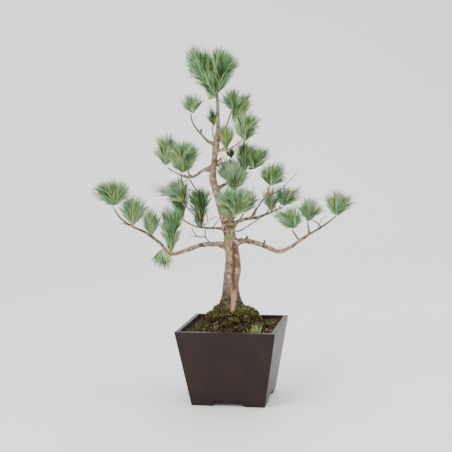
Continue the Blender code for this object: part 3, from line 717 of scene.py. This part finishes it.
def grow_bundle(draw, starts, foot, triangle, mix, needle_length):
    """Root, direction, length and colour of a bundle that ends on a triangle of the outline."""
    a, b, c = triangle
    u, v = sorted((draw.random(), draw.random()))
    target = a * u + b * (v - u) + c * (1 - v)
    root, run = best_start(starts, target, needle_length * draw.uniform(0.75, 1.0), draw)
    length = (target - root).length
    if length < SHORTEST_BUNDLE:
        target = root + (run + 0.6 * (target - root).normalized()).normalized() * STUB_BUNDLE
        length = STUB_BUNDLE
    way = (target - root).normalized()
    length = min(length, 1.3 * needle_length) * draw.uniform(1.0, 1.2)
    # Three in ten are younger and shorter, and some near the tuft's foot have yellowed
    if draw.random() < 0.3:
        length *= draw.uniform(0.65, 0.9)
    kind = draw.choices(list(mix), list(mix.values()))[0]
    if (root - foot).length < YELLOWED_FOOT and draw.random() < 0.15:
        kind = "yellow" if draw.random() < 0.7 else "straw"
    return root, way, length, kind


class PINE_OT_needles(bpy.types.Operator):
    """Grow bundles of five needles from the shoots, out to the masses' outlines."""

    bl_idname = "pine.needles"
    bl_label = "Needles"

    def execute(self, context):
        sizes, colours = context.scene.pine_sizes, context.scene.pine_colours
        shells = {colour: Shell() for colour in NEEDLE_COLOURS}
        for name, (seat, count, fullness, mix) in MASSES.items():
            draw = random.Random(name)
            shoots = shoots_of(name)
            starts = starts_along(shoots)
            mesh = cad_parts[name].data
            mesh.calc_loop_triangles()
            triangles = [[BACK_TO_TREE @ mesh.vertices[v].co for v in t.vertices]
                         for t in mesh.loop_triangles]
            areas = [t.area for t in mesh.loop_triangles]
            bundles = round(sizes.bundles_per_area * fullness * sum(areas) * PER_SQUARE_CM)
            for triangle in draw.choices(triangles, areas, k=bundles):
                root, way, length, kind = grow_bundle(draw, starts, shoots[0][0], triangle, MIXES[mix],
                                                      sizes.needle_length)
                for _ in range(NEEDLES_PER_BUNDLE):
                    jitter = Vector([draw.uniform(-1, 1) for _ in range(3)]) * NEEDLE_SPREAD
                    spread = (way + jitter).normalized()
                    flat = 1 - abs(spread.z)
                    droop = Vector((0, 0, -NEEDLE_DROOP * length * flat)) + jitter * length * NEEDLE_BEND
                    shells[kind].needle(root, spread, length * draw.uniform(0.9, 1.03),
                                        sizes.needle_width, droop)
        for colour, shell in shells.items():
            skin = needle_skin("pine_needle_" + colour, getattr(colours, colour))
            for number, first in enumerate(range(0, len(shell.faces), FACES_PER_PIECE), 1):
                shift = first // FACES_PER_NEEDLE * POINTS_PER_NEEDLE
                size = FACES_PER_PIECE // FACES_PER_NEEDLE * POINTS_PER_NEEDLE
                points = [TURN @ v for v in shell.verts[shift:shift + size]]
                faces = [[v - shift for v in face] for face in shell.faces[first:first + FACES_PER_PIECE]]
                made = new_piece(f"needles_{colour}_{number}", points, faces, skin, "needles",
                                 smooth=False)
                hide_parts(*MASSES)
        return {"FINISHED"}


def ground_height(x, y):
    """Height of the soil and moss surface over the pot, in metres."""
    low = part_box("soil")[1][2]
    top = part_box("moss_mound")[1][2]
    share = max(0, min(1, (MOUND_FOOT - math.hypot(x, y)) / MOUND_SLOPE))
    rise = (top - low) * share * share * (3 - 2 * share)
    place = Vector((x, y, 0))
    # Lumps of about 11 mm and swells of 25 mm, stronger on the mound
    rough = 2.6 * MM * (noise.turbulence(place * 90, 3, False) - 0.8) + 3 * MM * noise.noise(place * 40)
    return low + rise + rough * (0.45 + 0.8 * share)


def soil_block(half, foot):
    """Points and faces of the soil: an uneven top, sides and a flat foot."""
    row = SOIL_CELLS + 1
    places = [-half + 2 * half * i / SOIL_CELLS for i in range(row)]
    verts = [(x, y, ground_height(x, y)) for y in places for x in places]
    faces = [(a, a + 1, a + row + 1, a + row)
             for j in range(SOIL_CELLS) for a in range(j * row, j * row + SOIL_CELLS)]
    rim = [*range(row), *range(2 * row - 1, row * row, row),
           *range(row * row - 2, row * SOIL_CELLS - 1, -1), *range(row * (SOIL_CELLS - 1), 0, -row)]
    base = len(verts)
    verts += [(*verts[i][:2], foot) for i in rim]
    for i in range(len(rim)):
        n = (i + 1) % len(rim)
        faces.append((rim[n], rim[i], base + i, base + n))
    faces.append(tuple(range(base + len(rim) - 1, base - 1, -1)))
    return verts, faces


def grow_cushion(bm, stems, spot, draw):
    """Add one squashed uneven dome of moss, ringed with tiny leafy stems."""
    x, y, size = (value * MM for value in spot)
    dome = bmesh.ops.create_icosphere(bm, subdivisions=4, radius=1)["verts"]
    tall = size * draw.uniform(0.55, 0.8)
    foot = ground_height(x, y) - 0.2 * tall
    for vert in dome:
        lump = 1 + 0.22 * noise.noise(vert.co * 2.3 + Vector((x, y, 0)) * 90)
        lump += 0.10 * noise.noise(vert.co * 7 + Vector((y, x, 0)) * 90)
        vert.co = Vector((x + vert.co.x * size * lump, y + vert.co.y * size * lump,
                          foot + max(-0.3, vert.co.z) * tall * lump))
    for _ in range(STEMS_PER_CUSHION):
        turn, lift = draw.uniform(0, math.tau), draw.uniform(0.1, 1)
        level = math.sqrt(1 - lift * lift)
        out = Vector((math.cos(turn) * level, math.sin(turn) * level, lift))
        root = Vector((x + out.x * size * 0.95, y + out.y * size * 0.95, foot + out.z * tall * 0.95))
        way = out + Vector((0, 0, 0.6)) + 0.4 * Vector([draw.uniform(-1, 1) for _ in range(3)])
        stems.needle(root, way.normalized(), draw.uniform(2, 4.5) * MM, 0.9 * MM, Vector())


def drop_crumb(bm, half, draw):
    """Add one jagged crumb of bark or grit on the soil."""
    x, y = draw.uniform(-half, half) * 0.96, draw.uniform(-half, half) * 0.96
    size = draw.uniform(0.8, 2.6) * MM
    ball = bmesh.ops.create_icosphere(bm, subdivisions=1, radius=1)["verts"]
    wide = Vector([draw.uniform(0.6, 1.3) for _ in range(3)])
    ground = ground_height(x, y)
    for vert in ball:
        jag = 1 + draw.uniform(-0.2, 0.2)
        vert.co = Vector((x + vert.co.x * size * wide.x * jag, y + vert.co.y * size * wide.y * jag,
                          ground + size * 0.3 + vert.co.z * size * 0.7 * wide.z * jag))


def sow_clump(blades, clump, draw):
    """Add one clump of grass blades."""
    x, y, count, tall = clump
    for _ in range(count):
        at_x, at_y = (x + draw.uniform(-5, 5)) * MM, (y + draw.uniform(-5, 5)) * MM
        root = Vector((at_x, at_y, ground_height(at_x, at_y) - 1 * MM))
        way = Vector((draw.uniform(-0.5, 0.5), draw.uniform(-0.5, 0.3), 1)).normalized()
        blades.needle(root, way, tall * MM * draw.uniform(0.6, 1.1), 1.1 * MM,
                      Vector((way.x, way.y, -0.2)) * 4 * MM)


def lay_strand(strands, draw):
    """Add one dry root strand that arches over the moss."""
    turn, away = draw.uniform(0, math.tau), draw.uniform(20, 44) * MM
    x, y = math.cos(turn) * away, math.sin(turn) * away
    root = Vector((x, y, ground_height(x, y)))
    out = Vector((math.cos(turn + 1), math.sin(turn + 1), 0))
    stations = [Vector((*(root + out * s * MM + Vector((0, 0, math.sin(s / 5) * 2.5 * MM))), 0.35 * MM))
                for s in (0, 4, 8, 12)]
    path = [Vector((*(BACK_TO_TREE @ p.to_3d()), p[3])) for p in curve_points(stations, 2 * MM)]
    strands.sweep(path, STRAND_SIDES, young_bark(0.0))


class PINE_OT_ground(bpy.types.Operator):
    """Lay the soil, moss cushions, crumbs, grass blades and dry strands round the trunk."""

    bl_idname = "pine.ground"
    bl_label = "Soil and Moss"

    def execute(self, context):
        draw = random.Random("ground")
        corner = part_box("soil")[1]
        half = corner[0] - 0.5 * MM
        soil = new_piece("soil_surface", *soil_block(half, corner[2] - SOIL_DEPTH), potting_mix(),
                         "potting_soil")
        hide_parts("soil")

        moss, stems, crumbs, blades, strands = (Shell() for _ in range(5))
        bm = bmesh.new()
        for spot in CUSHIONS:
            grow_cushion(bm, stems, spot, draw)
        moss.take(bm)
        made = new_piece("moss_cushions", moss.verts, moss.faces, cushion_skin("cushion_moss", (
            (0.38, "1a130c"), (0.52, "33291a"), (0.62, "53562a"), (0.76, "858b44"))), "moss_mound")
        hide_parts("moss_mound")
        new_piece("moss_stems", stems.verts, stems.faces, cushion_skin("moss_leaf", (
            (0.38, "2e2715"), (0.52, "53552a"), (0.7, "8c9149"))), "moss_mound", smooth=False)

        bm = bmesh.new()
        for _ in range(CRUMBS):
            drop_crumb(bm, half, draw)
        crumbs.take(bm)
        new_piece("bark_crumbs", crumbs.verts, crumbs.faces, cushion_skin("bark_crumb", (
            (0.35, "1b140d"), (0.52, "4a3826"), (0.66, "86704f"))), "potting_soil", smooth=False)

        for clump in GRASS:
            sow_clump(blades, clump, draw)
        new_piece("grass_blades", blades.verts, blades.faces,
                  needle_skin("grass_leaf", context.scene.pine_colours.grass), "moss_mound", smooth=False)

        for _ in range(STRANDS):
            lay_strand(strands, draw)
        new_piece("dry_strands", strands.verts, strands.faces,
                  cushion_skin("dry_root", ((0.4, "6f5b3e"), (0.6, "a98f68"))), "moss_mound")
        return {"FINISHED"}


class PINE_OT_pot(bpy.types.Operator):
    """Give the pot its fired clay."""

    bl_idname = "pine.pot"
    bl_label = "Pot"

    def execute(self, context):
        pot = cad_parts["pot"]
        pot.data.materials.clear()
        pot.data.materials.append(stoneware())
        return {"FINISHED"}


class PINE_OT_stage(bpy.types.Operator):
    """Set the floor, the soft lights and the camera."""

    bl_idname = "pine.stage"
    bl_label = "Stage"

    def execute(self, context):
        collection = context.scene.collection
        # The floor runs back, bends up and ends in an upright back
        turns = [math.pi / 2 * i / BEND_STEPS for i in range(1, BEND_STEPS + 1)]
        profile = [(-FLOOR_HALF, 0.0), (FLOOR_BACK - FLOOR_BEND, 0.0),
                   *[(FLOOR_BACK - FLOOR_BEND + FLOOR_BEND * math.sin(turn),
                      FLOOR_BEND - FLOOR_BEND * math.cos(turn)) for turn in turns],
                   (FLOOR_BACK, BACK_HEIGHT)]
        verts = [(x, y, z) for y, z in profile for x in (-FLOOR_HALF, FLOOR_HALF)]
        faces = [(2 * i, 2 * i + 1, 2 * i + 3, 2 * i + 2) for i in range(len(profile) - 1)]
        mesh = bpy.data.meshes.new("studio_floor")
        mesh.from_pydata(verts, [], faces)
        mesh.materials.append(floor_paint(context.scene.pine_colours.floor))
        mesh.shade_smooth()
        floor = bpy.data.objects.new("studio_floor", mesh)
        floor.matrix_world = TURN
        collection.objects.link(floor)

        world = bpy.data.worlds.new("studio")
        context.scene.world = world
        world.use_nodes = True
        sky = world.node_tree.nodes["Background"]
        sky.inputs["Color"].default_value = SKY_COLOUR
        sky.inputs["Strength"].default_value = SKY_STRENGTH
        for name, (place, size, power) in LIGHTS.items():
            light = bpy.data.lights.new(name, "AREA")
            light.shape, light.size, light.energy = "SQUARE", size, power
            lamp = bpy.data.objects.new(name, light)
            aim = (LIGHT_AIM - Vector(place)).to_track_quat("-Z", "Y").to_matrix().to_4x4()
            lamp.matrix_world = TURN @ (Matrix.Translation(place) @ aim)
            collection.objects.link(lamp)

        # The camera stands where the photograph's did
        right = Vector((1, 0, 0))
        ahead = Vector((0, math.cos(CAMERA_PITCH), -math.sin(CAMERA_PITCH)))
        above = Vector((0, math.sin(CAMERA_PITCH), math.cos(CAMERA_PITCH)))
        rolled_right = right * math.cos(CAMERA_ROLL) + above * math.sin(CAMERA_ROLL)
        rolled_above = above * math.cos(CAMERA_ROLL) - right * math.sin(CAMERA_ROLL)
        camera = bpy.data.objects.new("camera", bpy.data.cameras.new("camera"))
        camera.data.lens, camera.data.sensor_width = CAMERA_LENS, CAMERA_SENSOR
        axes = Matrix((rolled_right, rolled_above, -ahead)).transposed().to_4x4()
        camera.matrix_world = TURN @ (Matrix.Translation(CAMERA_PLACE) @ axes)
        collection.objects.link(camera)
        context.scene.camera = camera
        return {"FINISHED"}


class PINE_PT_panel(bpy.types.Panel):
    """The settings of the potted pine, and one button for each group of pieces."""

    bl_idname = "PINE_PT_panel"
    bl_label = "Potted White Pine"
    bl_space_type = "VIEW_3D"
    bl_region_type = "UI"
    bl_category = "Pine"

    def draw(self, context):
        for settings in (context.scene.pine_sizes, context.scene.pine_colours):
            for key in settings.__annotations__:
                self.layout.prop(settings, key)
        for operator in OPERATORS:
            self.layout.operator(operator.bl_idname)


OPERATORS = (PINE_OT_stage, PINE_OT_pot, PINE_OT_ground, PINE_OT_bark, PINE_OT_twigs, PINE_OT_needles)
CLASSES = (PineSizes, PineColours, *OPERATORS, PINE_PT_panel)


def register():
    """Register the classes and hang the settings on the scene."""
    for cls in CLASSES:
        bpy.utils.register_class(cls)
    bpy.types.Scene.pine_sizes = PointerProperty(type=PineSizes)
    bpy.types.Scene.pine_colours = PointerProperty(type=PineColours)


def unregister():
    """Undo what register did."""
    del bpy.types.Scene.pine_colours
    del bpy.types.Scene.pine_sizes
    for cls in reversed(CLASSES):
        bpy.utils.unregister_class(cls)


def main():
    """Make every piece in order."""
    register()
    bpy.ops.pine.stage()
    bpy.ops.pine.pot()
    bpy.ops.pine.ground()
    bpy.ops.pine.bark()
    bpy.ops.pine.twigs()
    bpy.ops.pine.needles()


if __name__ == "__main__":
    main()
